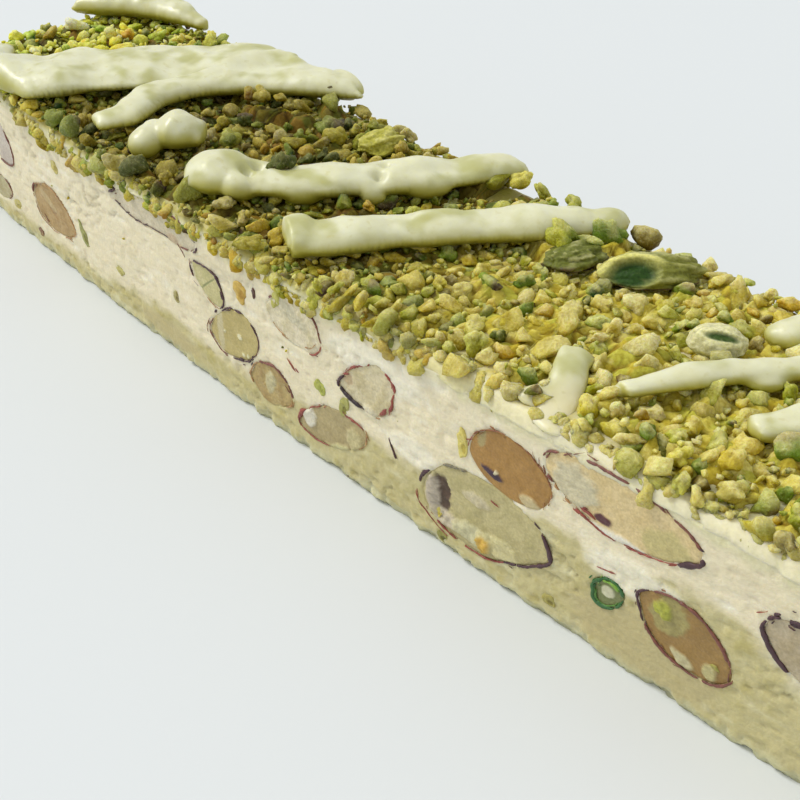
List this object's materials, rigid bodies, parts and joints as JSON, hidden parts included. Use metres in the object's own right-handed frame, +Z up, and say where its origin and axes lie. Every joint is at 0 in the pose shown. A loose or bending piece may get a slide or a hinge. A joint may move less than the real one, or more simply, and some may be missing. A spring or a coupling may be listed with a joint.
{
  "type": "nougat bar",
  "caption": "Cut nougat bar with almonds in its faces, a green pistachio layer, a pale coat, chopped pistachios and a white chocolate drizzle on top.",
  "frame": {"origin": "middle of the flat base", "axes": "+X along the bar to its near end, +Z up, -Y out of the front cut face"},
  "size_m": [0.2, 0.0437, 0.0334],
  "materials": {
    "white_nougat": "matte, slightly sticky cut face",
    "pistachio_nougat": "matte, grainy",
    "almond": "smooth cut nut with a brown skin",
    "pistachio_coat": "satin chocolate coat",
    "chopped_pistachio": "dry, chopped",
    "pistachio_kernel": "satin nut",
    "white_chocolate": "satin, set smooth"
  },
  "bodies": {
    "root": {"almond_back_01": "almond", "almond_back_02": "almond", "almond_back_03": "almond", "almond_back_04": "almond", "almond_back_05": "almond", "almond_back_06": "almond", "almond_back_07": "almond", "almond_back_08": "almond", "almond_back_09": "almond", "almond_back_10": "almond", "almond_far_01": "almond", "almond_far_02": "almond", "almond_front_01": "almond", "almond_front_02": "almond", "almond_front_03": "almond", "almond_front_04": "almond", "almond_front_05": "almond", "almond_front_06": "almond", "almond_front_07": "almond", "almond_front_08": "almond", "almond_front_09": "almond", "almond_front_10": "almond", "almond_front_11": "almond", "almond_front_12": "almond", "almond_front_13": "almond", "almond_front_14": "almond", "almond_front_15": "almond", "almond_front_16": "almond", "almond_near_01": "almond", "almond_near_02": "almond", "chopped_pistachios": "chopped_pistachio", "drizzle_01": "white_chocolate", "drizzle_02": "white_chocolate", "drizzle_03": "white_chocolate", "drizzle_04": "white_chocolate", "drizzle_05": "white_chocolate", "drizzle_06": "white_chocolate", "drizzle_07": "white_chocolate", "drizzle_08": "white_chocolate", "drizzle_09": "white_chocolate", "drizzle_10": "white_chocolate", "nougat_pistachio": "pistachio_nougat", "nougat_white": "white_nougat", "pistachio_coat": "pistachio_coat", "pistachio_front_01": "pistachio_kernel", "pistachio_top_01": "pistachio_kernel", "pistachio_top_02": "pistachio_kernel", "pistachio_top_03": "pistachio_kernel", "pistachio_top_04": "pistachio_kernel"}
  },
  "joints": []
}
